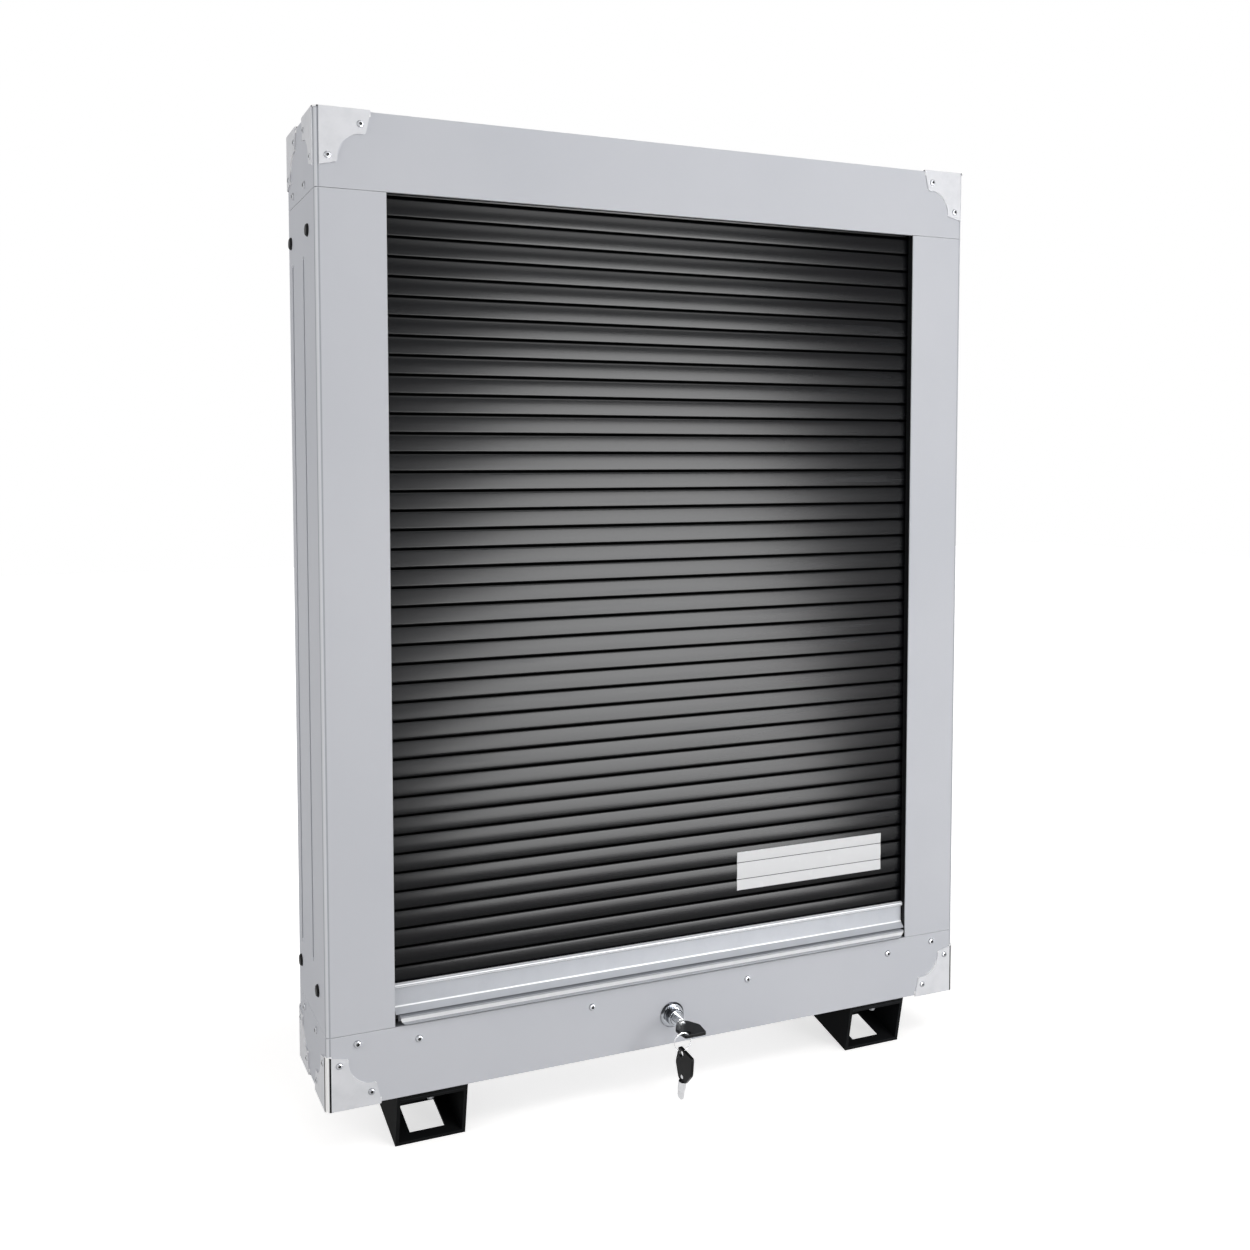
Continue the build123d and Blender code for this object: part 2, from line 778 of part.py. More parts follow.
def lock_plug():
    """Turning plug with the key slot in front and the tapped hole for the cam screw behind."""
    face = lock_face() - plug_stand
    body = rod_y(0, (face, cam_face), lock_z, plug_radius)
    half_width = key_blade_width / 2 + key_blade_play
    half_thickness = key_blade_thickness / 2 + key_blade_play
    end = face + key_blade_reach + key_blade_play
    level = (lock_z - half_thickness, lock_z + half_thickness)
    slot = block((-half_width, half_width), (face - cut, end), level)
    tapped = (cam_face - cam_screw_depth, cam_face + cut)
    return body - slot - rod_y(0, tapped, lock_z, cam_screw_radius + screw_play, shank_sides)


def lock_cam():
    """Flat cam, upright when the shutter is free, level above the strike's foot when it is locked."""
    span = cam_length + cam_width / 2
    at = Plane(origin=(0, cam_face, lock_z + span / 2 - cam_width / 2), x_dir=(0, 0, 1), z_dir=(0, 1, 0))
    body = extrude(at * SlotOverall(span, cam_width), cam_thickness)
    through = (cam_face - cut, cam_face + 2 * cam_thickness)
    return body - rod_y(0, through, lock_z, cam_screw_radius + screw_play, shank_sides)


def cam_screw():
    """Screw that holds the cam on the plug."""
    under = cam_face + cam_thickness
    head = rod_y(0, (under, under + cam_screw_head_height), lock_z, cam_screw_head_radius, head_sides)
    head = chamfer(head.faces().sort_by(Axis.Y)[-1].edges(), cam_screw_head_height * edge_break)
    shank = (cam_face - cam_screw_depth + screw_play, under)
    return head + rod_y(0, shank, lock_z, cam_screw_radius, shank_sides)


def key_head():
    """Moulded key head lying level, its neck at the origin and its hole to the left of its middle."""
    shoulder = -key_shoulder
    end = -key_head_length
    outline = Polyline(
        (key_head_neck / 2, 0),
        (key_head_width / 2, shoulder),
        (key_head_taper / 2, end),
        (-key_head_taper / 2, end),
        (-key_head_width / 2, shoulder),
        (-key_head_neck / 2, 0),
        close=True,
    )
    body = extrude(make_face(outline), key_head_thickness / 2, both=True)
    body = chamfer(body.edges().filter_by(Axis.Z), key_head_nip)
    hole = Pos(-key_hole_offset, -key_hole_setback) * Circle(key_hole_radius)
    body -= extrude(hole, key_head_thickness, both=True)
    half_width = key_blade_width / 2 + key_blade_play
    half_thickness = key_blade_thickness / 2 + key_blade_play
    return body - block((-half_width, half_width), (-key_blade_root, cut), (-half_thickness, half_thickness))


def key_blade():
    """Flat steel blade with a pointed tip and a round neck between the head and the plug."""
    half = key_blade_width / 2
    tip = key_head_gap + key_blade_reach
    outline = Polyline(
        (half, -key_blade_root),
        (half, tip - half / 2),
        (half / 2, tip),
        (-half / 2, tip),
        (-half, tip - half / 2),
        (-half, -key_blade_root),
        close=True,
    )
    neck = Plane(origin=(0, key_neck_play, 0), z_dir=(0, 1, 0)) * Circle(key_neck_radius)
    blade = extrude(make_face(outline), key_blade_thickness / 2, both=True)
    return blade + extrude(neck, key_head_gap - 2 * key_neck_play)


def key_place():
    """Place of the key in the lock."""
    return Pos(0, lock_face() - plug_stand - key_head_gap, lock_z)


def ring_centre():
    """Centre of the ring, which hangs through the key head's hole and round its left edge."""
    y = lock_face() - plug_stand - key_head_gap - key_hole_setback
    return -key_ring_offset, y, lock_z - key_ring_drop


def key_ring():
    """Wire ring, upright and parallel to the cabinet's front."""
    wire = Plane.XZ * Pos(key_ring_radius, 0) * RegularPolygon(key_wire_radius, key_wire_sides)
    return Pos(*ring_centre()) * Rot(90, 0, 0) * revolve(wire, Axis.Z)


def spare_place():
    """Place of the spare key, hanging blade down with its hole on the lowest wire of the ring."""
    x, y, z = ring_centre()
    hang = key_hole_radius - key_wire_radius - spare_play
    at_ring = Pos(x, y, z - key_ring_radius)
    turned = Rot(0, 0, spare_turn) * Rot(spare_lean, 0, 0)
    upright = Location(Plane(origin=(0, 0, -hang), x_dir=(0, -1, 0), z_dir=(1, 0, 0)))
    return at_ring * turned * upright * Pos(key_hole_offset, key_hole_setback, 0)


def write(name, shapes):
    """One STEP file for a node, which may hold several separate solids."""
    solids = shapes if isinstance(shapes, list) else [shapes]
    export_step(Compound(children=solids), f"parts/{name}.step")


os.makedirs("parts", exist_ok=True)
write("header_rail", header_rail())
write("bottom_rail", bottom_rail())
write("back_sheet", back_sheet())
write("floor_shelf", floor_shelf())
write("tool_panel", tool_panel())
handed = {
    "side_column": side_column(),
    "side_liner": side_liner(),
    "front_track": front_track(),
    "rear_track": rear_track(),
    "bracket": bracket(),
    "bar_glide": bar_glide(),
}
for name, right in handed.items():
    write(f"{name}_right", right)
    write(f"{name}_left", mirrored(right))
for name, protector in corner_protectors().items():
    write(name, protector)
write("hole_plugs", hole_plugs())
write("panel_screws", panel_screws())
write("rail_screws", rail_screws())
write("bracket_screws", bracket_screws())
write("slat_curtain", slat_curtain())
write("bottom_bar", bottom_bar())
write("bar_seal", bar_seal())
write("bar_strike", bar_strike())
write("lock_body", lock_body())
write("lock_nut", lock_nut())
write("lock_plug", lock_plug())
write("lock_cam", lock_cam())
write("cam_screw", cam_screw())
write("key_head", key_place() * key_head())
write("key_blade", key_place() * key_blade())
write("key_ring", key_ring())
write("spare_key_head", spare_place() * key_head())
write("spare_key_blade", spare_place() * key_blade())
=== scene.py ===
import json
import math

import bpy
from mathutils import Matrix, Vector


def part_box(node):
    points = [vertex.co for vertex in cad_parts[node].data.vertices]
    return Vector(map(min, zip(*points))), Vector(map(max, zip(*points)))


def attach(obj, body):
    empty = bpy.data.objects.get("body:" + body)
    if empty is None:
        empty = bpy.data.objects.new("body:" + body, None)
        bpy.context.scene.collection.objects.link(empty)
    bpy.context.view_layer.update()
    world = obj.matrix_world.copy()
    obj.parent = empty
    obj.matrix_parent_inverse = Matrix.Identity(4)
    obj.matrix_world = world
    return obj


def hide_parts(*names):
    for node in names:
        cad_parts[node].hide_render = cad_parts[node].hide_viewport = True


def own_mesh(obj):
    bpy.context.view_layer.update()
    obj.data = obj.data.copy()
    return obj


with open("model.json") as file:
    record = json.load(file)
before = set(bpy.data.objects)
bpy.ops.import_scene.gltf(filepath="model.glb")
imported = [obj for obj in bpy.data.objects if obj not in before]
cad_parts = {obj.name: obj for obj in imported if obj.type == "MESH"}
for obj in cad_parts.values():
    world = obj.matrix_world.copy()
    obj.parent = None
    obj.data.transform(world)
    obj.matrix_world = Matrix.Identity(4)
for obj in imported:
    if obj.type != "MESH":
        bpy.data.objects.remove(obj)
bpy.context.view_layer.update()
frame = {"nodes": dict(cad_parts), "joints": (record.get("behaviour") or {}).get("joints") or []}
nodes = frame["nodes"]


# The cabinet's shell: header and bottom rail folded from 1.2 mm sheet steel as trays, a
# stile and side wall in one piece on each side, and a flat sheet that closes the back.
# All of it has the same light grey powder coat, with painted reflections along its bends.

fold_radius = 0.0011
header_radius = 0.000275
wall_radius = 0.00055
rounding_steps = 3
sharp_degrees = 30
flat_degrees = 1
weld_gap = 0.00002
# Painted reflections on the shell's bends: painted dark lines and painted light middles mixed into
# the coat's colour.
painted_fold_shade_share = 0.75
painted_fold_highlight_share = 0.6
shell_grey = (203, 205, 211)
shell_shade = (193, 196, 203)
shell_painted_fold_shade = (158, 161, 168)
shell_painted_fold_highlight = (232, 234, 238)


class Wire:
    """A shader node's output, to be summed, multiplied and handed to other nodes."""

    def __init__(self, tree, output=None):
        self.tree = tree
        self.output = output

    def node(self, kind, settings=None, inputs=None, output=0):
        """A new node: its settings come first, then the value or the wire of each socket."""
        made = self.tree.nodes.new("ShaderNode" + kind)
        for name, value in (settings or {}).items():
            setattr(made, name, value)
        for name, value in (inputs or {}).items():
            if isinstance(value, Wire):
                self.tree.links.new(value.output, made.inputs[name])
            else:
                made.inputs[name].default_value = value
        return Wire(self.tree, made.outputs[output] if made.outputs else None)

    def math(self, operation, first, second):
        return self.node("Math", {"operation": operation}, {0: first, 1: second})

    def __add__(self, other):
        return self.math("ADD", self, other)

    def __radd__(self, other):
        return self.math("ADD", other, self)

    def __sub__(self, other):
        return self.math("SUBTRACT", self, other)

    def __rsub__(self, other):
        return self.math("SUBTRACT", other, self)

    def __mul__(self, other):
        return self.math("MULTIPLY", self, other)

    def __rmul__(self, other):
        return self.math("MULTIPLY", other, self)


def colour(red, green, blue):
    """A colour as it looks on a screen, from 0 to 255, turned into the shader's own scale."""
    shares = [value / 255 for value in (red, green, blue)]
    return (*[((share + 0.055) / 1.055) ** 2.4 for share in shares], 1)


def start(name):
    """A new material, with the place on the piece that its patterns are laid out from."""
    made = bpy.data.materials.new(name)
    made.use_nodes = True
    made.node_tree.nodes.clear()
    place = Wire(made.node_tree).node("TexCoord", output="Object")
    return made, place


def stretched(place, x, y, z):
    """The place scaled along each axis, so that a pattern gets longer or finer that way."""
    return place.node("VectorMath", {"operation": "MULTIPLY"}, {0: place, 1: (x, y, z)})


def noise(place, scale, detail=2, roughness=0.5):
    """Cloudy pattern from 0 to 1, with that many lumps to the metre."""
    values = {"Vector": place, "Scale": scale, "Detail": detail, "Roughness": roughness}
    return place.node("TexNoise", {}, values)


def rise(value, low, high):
    """Share that goes smoothly from 0 at the low value to 1 at the high one."""
    limits = {"Value": value, "From Min": low, "From Max": high}
    return value.node("MapRange", {"interpolation_type": "SMOOTHSTEP"}, limits)


def mixed(share, first, second):
    """Mix of two colours."""
    return share.node("Mix", {"data_type": "RGBA"}, {0: share, 6: first, 7: second}, 2)


def bumps(height, depth):
    """Normal of a surface whose relief has that depth in metres."""
    return height.node("Bump", {}, {"Height": height, "Distance": depth, "Strength": 1.0})


def finished(made, place, **sockets):
    """Closes a material with its main shader, whose sockets take values or wires."""
    values = {name.replace("_", " "): value for name, value in sockets.items()}
    surface = place.node("BsdfPrincipled", {}, values)
    surface.node("OutputMaterial", {}, {"Surface": surface})
    return made


def facings(place):
    """How far the surface of the piece faces along X, Y and Z, each from -1 to 1."""
    normal = place.node("TexCoord", output="Normal")
    return [normal.node("SeparateXYZ", {}, {0: normal}, axis) for axis in "XYZ"]


def bends(place):
    """Shares that rise from 0 on flat faces to 1 halfway round an upright and a level bend."""
    x, y, z = [part.math("ABSOLUTE", part, 0) for part in facings(place)]
    return 2 * x * y, 2 * (x + y) * z


def with_painted_bend_reflections(place, base, dark, dark_share, light, light_share):
    """Base colour with painted reflections: the lines that bends in sheet would mirror from a room.

    A thin painted dark line runs on both sides of each upright bend, and all bends have a painted
    light middle.
    """
    upright, level = bends(place)
    beside = rise(upright, 0.08, 0.2) - rise(upright, 0.6, 0.8)
    middle = rise(upright, 0.65, 0.9) + rise(level, 0.35, 0.8)
    lined = mixed(beside * dark_share, base, colour(*dark))
    return mixed(middle * light_share, lined, colour(*light))


def powder_coat(name, main, shade, painted_fold_shade, painted_fold_highlight, roughness=0.5, gloss=0.05):
    """Baked powder coat: a fine orange-peel skin, faint clouds in the grey, a little dust and
    painted reflections along the bends.
    """
    made, place = start(name)
    clouds = noise(place, scale=5, detail=3)
    peel = noise(place, scale=900, detail=1)
    pores = noise(place, scale=2600, detail=1)
    specks = rise(noise(place, scale=420, detail=4, roughness=0.7), 0.72, 0.78)
    level = stretched(place, 14, 14, 160)
    scuffs = rise(noise(level, scale=3, detail=4, roughness=0.65), 0.66, 0.74)
    share = rise(clouds, 0.3, 0.75) * 0.5 + specks * 0.25 + scuffs * 0.12
    base = mixed(share, colour(*main), colour(*shade))
    return finished(
        made,
        place,
        Base_Color=with_painted_bend_reflections(place, base, painted_fold_shade, painted_fold_shade_share, painted_fold_highlight, painted_fold_highlight_share),
        Roughness=roughness + 0.06 * clouds + 0.08 * scuffs,
        Specular_IOR_Level=gloss,
        Normal=bumps(peel * 0.7 + pores * 0.3, depth=0.00003),
    )


def softened(made, radius):
    """Rounds the sharp edges of a piece, as its folds and machining are in steel."""
    weld = made.modifiers.new("weld", "WELD")
    weld.merge_threshold = weld_gap
    flat = made.modifiers.new("flat faces", "DECIMATE")
    flat.decimate_type = "DISSOLVE"
    flat.angle_limit = math.radians(flat_degrees)
    bevel = made.modifiers.new("broken edges", "BEVEL")
    bevel.width = radius
    bevel.segments = rounding_steps
    bevel.limit_method = "ANGLE"
    bevel.angle_limit = math.radians(sharp_degrees)
    bevel.use_clamp_overlap = True
    made.modifiers.new("even shading", "WEIGHTED_NORMAL")


def coated(names, material, radius):
    """Gives carried-over pieces a material and their broken edges."""
    for name in names:
        made = nodes[name]
        softened(made, radius)
        made.data.materials.clear()
        made.data.materials.append(material)


shell_coat = powder_coat("shell_coat", shell_grey, shell_shade, shell_painted_fold_shade, shell_painted_fold_highlight)
coated(("bottom_rail",), shell_coat, fold_radius)
coated(("header_rail",), shell_coat, header_radius)
coated(("side_column_left", "side_column_right", "back_sheet"), shell_coat, wall_radius)


# Corner protectors: three-lobed pieces pressed from bright zinc-plated sheet, bent round the
# eight corners of the cabinet. Two small socket screws hold each lobe.

protector_bright = (219, 220, 224)
protector_dull = (204, 206, 210)
# Painted reflections on the protectors' bends: black lines and a white middle.
painted_bend_shade = (6, 7, 9)
painted_bend_highlight = (255, 255, 255)
screw_near = 0.0103
screw_far = 0.0364
protector_sheet = 0.0012
protector_edge = 0.0004
button_radius = 0.0029
button_height = 0.0013
button_socket = 0.0012
button_socket_depth = 0.001
button_sunk = 0.0004
button_side_sunk = 0.0005
button_sides = 24
socket_rim = 1.35
socket_floor = 0.25
# The sockets' dark colour is painted shade together with grease.
socket_painted_shade_and_grease = (16, 16, 18)
screw_bright = (168, 170, 174)
screw_dull = (128, 130, 134)


def plated(name, bright, dull, metal, roughness, gloss, base=None):
    """Plated or satin metal: fine grain, slight clouds, tiny dull spots.

    The base function, where there is one, changes the plate's colour from place to place.
    """
    made, place = start(name)
    clouds = noise(place, scale=60, detail=4, roughness=0.6)
    brushing = noise(place, scale=160, detail=3, roughness=0.6)
    spots = rise(noise(place, scale=900, detail=3, roughness=0.7), 0.66, 0.76)
    share = rise(clouds, 0.35, 0.8) * 0.7 + spots * 0.3
    plate = mixed(share, colour(*bright), colour(*dull))
    return finished(
        made,
        place,
        Base_Color=base(place, plate) if base else plate,
        Metallic=metal,
        Roughness=roughness + 0.12 * brushing + 0.1 * spots - 0.06,
        Specular_IOR_Level=gloss,
        Normal=bumps(brushing * 0.7 + clouds * 0.3, depth=0.00002),
    )


def moulded(name, main, roughness, gloss=0.3):
    """Moulded plastic or rubber: a fine matt texture with slight wear."""
    made, place = start(name)
    grain = noise(place, scale=3200, detail=2)
    wear = rise(noise(place, scale=90, detail=4, roughness=0.6), 0.55, 0.8)
    lighter = tuple(min(255, value + 8) for value in main)
    return finished(
        made,
        place,
        Base_Color=mixed(wear * 0.6, colour(*main), colour(*lighter)),
        Roughness=roughness + 0.12 * wear,
        Specular_IOR_Level=gloss,
        Normal=bumps(grain, depth=0.00002),
    )


def hexagon(across):
    """Radius at each angle of a hexagon of that half width."""
    sixth = math.radians(60)
    return lambda angle: across / math.cos(angle % sixth - sixth / 2)


def turned(rings, sides):
    """Form turned about +Z: rings of (height, radius) from its back to its middle in front."""
    points = []
    faces = []
    for height, radius in rings:
        for step in range(sides):
            angle = 2 * math.pi * step / sides
            reach = radius(angle) if callable(radius) else radius
            points.append(Vector((reach * math.cos(angle), reach * math.sin(angle), height)))
    for ring in range(len(rings) - 1):
        low = ring * sides
        for step in range(sides):
            after = (step + 1) % sides
            faces.append((low + step, low + after, low + sides + after, low + sides + step))
    faces.append(tuple(reversed(range(sides))))
    faces.append(tuple(range(len(points) - sides, len(points))))
    return points, faces


def dome(radius, height, hole, steps=5):
    """Rings of a domed head, from its foot up to the rim of the hole in its middle."""
    rings = []
    for step in range(steps + 1):
        turn = math.radians(90) * step / steps
        reach = hole + (radius - hole) * math.cos(turn)
        rings.append((height * math.sin(turn), reach))
    return rings


def button_screw(radius, height, socket, depth, sunk, shank=0, length=0):
    """Button-head screw with a hexagon socket, its seat on the XY plane.

    The head reaches below its seat by the sunk depth. A shank is drawn only where one is given.
    """
    rings = [(-length, shank), (-sunk, shank), (-sunk, radius)] if shank else [(-sunk, radius)]
    rings += dome(radius, height, socket_rim * socket)
    rings += [(height, hexagon(socket)), (height - depth, hexagon(socket))]
    rings += [(height - depth, socket_floor * socket)]
    return turned(rings, button_sides)


def facing(x, y, z, direction):
    """Place and turn of a piece drawn about +Z whose front looks that way."""
    turn = Vector(direction).to_track_quat("Z", "Y").to_matrix().to_4x4()
    return Matrix.Translation((x, y, z)) @ turn


def joined(shapes):
    """One form from several, each given as its points and faces."""
    points = []
    faces = []
    for own_points, own_faces in shapes:
        first = len(points)
        points += own_points
        faces += [tuple(first + index for index in face) for face in own_faces]
    return points, faces


def piece(name, shape, places, material, body, smooth=35):
    """One object from a form that repeats at one or more places."""
    points, faces = shape
    points, faces = joined(([place @ point for point in points], faces) for place in places)
    mesh = bpy.data.meshes.new(name)
    mesh.from_pydata(points, [], faces)
    mesh.shade_smooth()
    mesh.set_sharp_from_angle(angle=math.radians(smooth))
    mesh.materials.append(material)
    made = bpy.data.objects.new(name, mesh)
    bpy.context.scene.collection.objects.link(made)
    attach(made, body)
    return made


def two_tone(made, material, faces_each, chosen):
    """Gives the chosen faces of each copy in a piece a second material."""
    made.data.materials.append(material)
    for index, face in enumerate(made.data.polygons):
        if index % faces_each in chosen:
            face.material_index = 1


def paint_socket_shade_and_grease(made, screw):
    """Painted shade and grease in the sockets of a piece made of copies of one button-head screw.

    The socket's wall and floor are the last two rings of faces, which the two end faces follow.
    """
    faces_each = len(screw[1])
    in_socket = 2 * button_sides + 2
    two_tone(made, socket_grease, faces_each, range(faces_each - in_socket, faces_each))


def protector_screw_places():
    """Two screws on each of the three lobes of all eight protectors."""
    low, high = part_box("header_rail")
    half = high.x
    top = high.z
    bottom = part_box("bottom_rail")[0].z
    front, rear = low.y, high.y
    places = []
    for side in (-1, 1):
        for edge, outward in ((front, -1), (rear, 1)):
            for level, up in ((top, 1), (bottom, -1)):
                for near, far in ((screw_near, screw_far), (screw_far, screw_near)):
                    x = side * (half - near)
                    y = edge - outward * near
                    z = level - up * far
                    sunk = button_height if outward > 0 else 0
                    seat = edge + outward * protector_sheet - sunk
                    places.append(facing(x, seat, z, (0, outward, 0)))
                    seat = side * (half + protector_sheet - button_side_sunk)
                    places.append(facing(seat, y, z, (side, 0, 0)))
                    sunk = button_height if up > 0 else 0
                    seat = level + up * protector_sheet - sunk
                    places.append(facing(x, edge - outward * far, seat, (0, 0, up)))
    return places


def painted_protector_bends(place, plate):
    """Painted reflections on the bends: a painted white middle between two painted dark lines, as
    the bends would mirror a dark room.
    """
    return with_painted_bend_reflections(place, plate, painted_bend_shade, 1.0, painted_bend_highlight, 1.0)


protector_plate = plated(
    "protector_plate",
    protector_bright,
    protector_dull,
    metal=0.03,
    roughness=0.45,
    gloss=0.08,
    base=painted_protector_bends,
)
socket_grease = moulded("socket_grease", socket_painted_shade_and_grease, roughness=0.6)
screw_zinc = plated(
    "screw_zinc", screw_bright, screw_dull, metal=0.7, roughness=0.3, gloss=0.3
)
protectors = sorted(name for name in nodes if name.startswith("corner_protector"))
coated(protectors, protector_plate, protector_edge)
small_button = button_screw(
    button_radius, button_height, button_socket, button_socket_depth, button_sunk
)
small_buttons = piece(
    "protector_screws",
    small_button,
    protector_screw_places(),
    screw_zinc,
    "cabinet",
)
paint_socket_shade_and_grease(small_buttons, small_button)


# The screws of the shell: six button-head screws along the front of the bottom rail and two on
# each end of both rails, zinc-plated steel with a hexagon socket.

rail_head_radius = 0.0032
rail_head_height = 0.0016
rail_socket = 0.0014
rail_socket_depth = 0.0011
rail_shank = 0.0015
rail_screw_length = 0.006


def screw_middles(node, along, longest=0.012):
    """Middles of the separate screws in a carried-over node that lie along one axis."""
    screws = []
    for vertex in nodes[node].data.vertices:
        for points in screws:
            if (points[0] - vertex.co).length < longest:
                points.append(vertex.co.copy())
                break
        else:
            screws.append([vertex.co.copy()])
    middles = []
    for points in screws:
        low = Vector(min(point[axis] for point in points) for axis in range(3))
        high = Vector(max(point[axis] for point in points) for axis in range(3))
        if max(high - low) == (high - low)[along]:
            middles.append((low + high) / 2)
    return middles


rail_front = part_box("bottom_rail")[0].y
side_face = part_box("bottom_rail")[1].x
rail_places = []
for middle in screw_middles("rail_screws", 1):
    rail_places.append(facing(middle.x, rail_front, middle.z, (0, -1, 0)))
for middle in screw_middles("rail_screws", 0):
    side = 1 if middle.x > 0 else -1
    rail_places.append(facing(side * side_face, middle.y, middle.z, (side, 0, 0)))
rail_button = button_screw(
    rail_head_radius,
    rail_head_height,
    rail_socket,
    rail_socket_depth,
    sunk=0,
    shank=rail_shank,
    length=rail_screw_length,
)
rail_set = piece(
    "rail_button_screws", rail_button, rail_places, screw_zinc, "cabinet"
)
paint_socket_shade_and_grease(rail_set, rail_button)
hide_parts("rail_screws")


# Blind plugs in the side walls: moulded black plastic with a low domed head, snapped into the
# round holes that the cabinet doesn't use.

plug_black = (5, 5, 7)
plug_edge = 0.0004

plug_plastic = moulded("plug_plastic", plug_black, roughness=0.5, gloss=0.1)
coated(("hole_plugs",), plug_plastic, plug_edge)


# Inside: two folded side liners, the floor shelf and the slotted tool panel, thinner sheet with
# the same kind of powder coat in a darker grey. Small screws hold the panel's flanges.

inner_grey_and_painted_bend_highlight = (150, 153, 158)
inner_tone_and_painted_bend_shade = (136, 139, 145)
inner_edge = 0.0003
screw_edge = 0.0002

# The darker grey also gives the bends' painted dark lines, and the main grey their painted light
# middles.
inner_coat = powder_coat("inner_coat", inner_grey_and_painted_bend_highlight, inner_tone_and_painted_bend_shade, inner_tone_and_painted_bend_shade, inner_grey_and_painted_bend_highlight)
coated(("side_liner_left", "side_liner_right", "floor_shelf", "tool_panel"), inner_coat, inner_edge)
coated(("panel_screws",), screw_zinc, screw_edge)


# Tracks for the slats: black plastic extrusions, straight in front and bent over the top and
# down behind the tool panel. Their front leg shows as a thin black line beside each stile.

track_black = (14, 14, 16)
track_edge = 0.0002

track_plastic = moulded("track_plastic", track_black, roughness=0.45)
tracks = ("front_track_left", "front_track_right", "rear_track_left", "rear_track_right")
coated(tracks, track_plastic, track_edge)


# The slatted shutter: hollow-backed slats in black semi-gloss plastic, each hooked on the one
# below. Their faces are slightly crowned, and the joints between them are narrow dark grooves.

slat_pitch = 0.01575
slat_lift = 0.0004
slat_groove = 0.0016
slat_crown = 0.00032
slat_roll = 0.0007
roll_back = 0.55 * slat_roll
roll_middle = 0.15 * slat_roll
slat_wall = 0.0011
slat_depth = 0.0059
hook_wall = 0.0009
hook_play = 0.0003
hook_reach = 0.0018
top_hook = slat_lift + 2 * hook_wall
hook_room = 0.0025
slat_black = (6, 7, 10)
slat_worn = (16, 18, 24)
groove_black = (1, 1, 1)
squash_anchor = 0.3535

shutter_low, shutter_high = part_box("slat_curtain")
slat_middle_y = (shutter_low.y + shutter_high.y) / 2
slat_half_length = shutter_high.x
bar_top_slat = shutter_low.z - slat_lift
slat_count = round((shutter_high.z - shutter_low.z - top_hook) / slat_pitch)


def slat_front(steps=12):
    """Crowned front of a slat from its lower to its upper edge, as (y, z) about its middle."""
    low = slat_lift
    high = slat_pitch - slat_groove
    middle = (low + high) / 2
    half = (high - low) / 2 - slat_roll
    crest = -slat_depth / 2
    radius = (half**2 + slat_crown**2) / (2 * slat_crown)
    points = []
    for step in range(steps + 1):
        z = -half + 2 * half * step / steps
        drop = radius - math.sqrt(radius**2 - z**2)
        points.append((crest + drop, middle + z))
    return points


def slat_outline():
    """Outline of a slat: its front, the rolled edges, the hook above and the pocket below."""
    crest = -slat_depth / 2
    edge = crest + slat_crown
    low = slat_lift
    high = slat_pitch - slat_groove
    back = slat_depth / 2
    neck = slat_crown + slat_wall + hook_play - slat_depth / 2
    barb = slat_pitch + slat_lift + hook_wall
    shoulder = high - hook_wall
    outline = [(edge + slat_wall, low), (edge + roll_back, low)]
    outline += [(edge + roll_middle, low + slat_roll / 2)]
    outline += slat_front()
    outline += [(edge + roll_middle, high - slat_roll / 2), (edge + roll_back, high)]
    outline += [(neck, high), (neck, barb + hook_wall), (neck + hook_reach, barb + hook_wall)]
    outline += [(neck + hook_reach, barb), (neck + hook_wall, barb), (neck + hook_wall, shoulder)]
    outline += [(edge + slat_wall, shoulder)]
    roof = slat_lift + 2 * hook_wall + hook_play
    outline += [(edge + slat_wall, roof + hook_wall), (back, roof + hook_wall), (back, low)]
    mouth = neck + hook_wall + hook_play
    inner = neck + hook_reach + hook_play
    ledge = low + hook_wall - hook_play
    outline += [(mouth, low), (mouth, ledge)]
    outline += [(inner, ledge), (inner, roof), (edge + slat_wall, roof)]
    return outline


def drawn(outline, half_length):
    """Solid drawn out along X from an outline in the YZ plane."""
    points = []
    for x in (-half_length, half_length):
        points += [Vector((x, y, z)) for y, z in outline]
    count = len(outline)
    faces = []
    for step in range(count):
        after = (step + 1) % count
        faces.append((step, after, count + after, count + step))
    faces += [tuple(reversed(range(count))), tuple(range(count, 2 * count))]
    return points, faces


def slat_finish():
    """Black semi-gloss with faint lines along the slat from the extruder, and a few dull rubs."""
    made, place = start("slat_black")
    lines = noise(stretched(place, 2, 400, 900), scale=1, detail=3, roughness=0.6)
    along = stretched(place, 3, 30, 60)
    rubs = rise(noise(along, scale=2, detail=4, roughness=0.6), 0.58, 0.8)
    specks = rise(noise(place, scale=700, detail=3, roughness=0.7), 0.7, 0.77)
    return finished(
        made,
        place,
        Base_Color=mixed(rubs * 0.35 + specks * 0.2, colour(*slat_black), colour(*slat_worn)),
        Roughness=0.19 + 0.05 * lines + 0.06 * rubs,
        Specular_IOR_Level=0.08,
        Normal=bumps(lines, depth=0.000012),
    )


def painted_groove_shade_and_dust():
    """Painted shade in the joints: near-black without gloss, with a little dust on the hooks."""
    made, place = start("groove_black")
    along = stretched(place, 6, 60, 60)
    dust = rise(noise(along, scale=6, detail=4, roughness=0.6), 0.5, 0.8)
    return finished(
        made,
        place,
        Base_Color=mixed(dust * 0.15, colour(*groove_black), colour(*slat_worn)),
        Roughness=0.8 - 0.1 * dust,
        Specular_IOR_Level=0.0,
    )


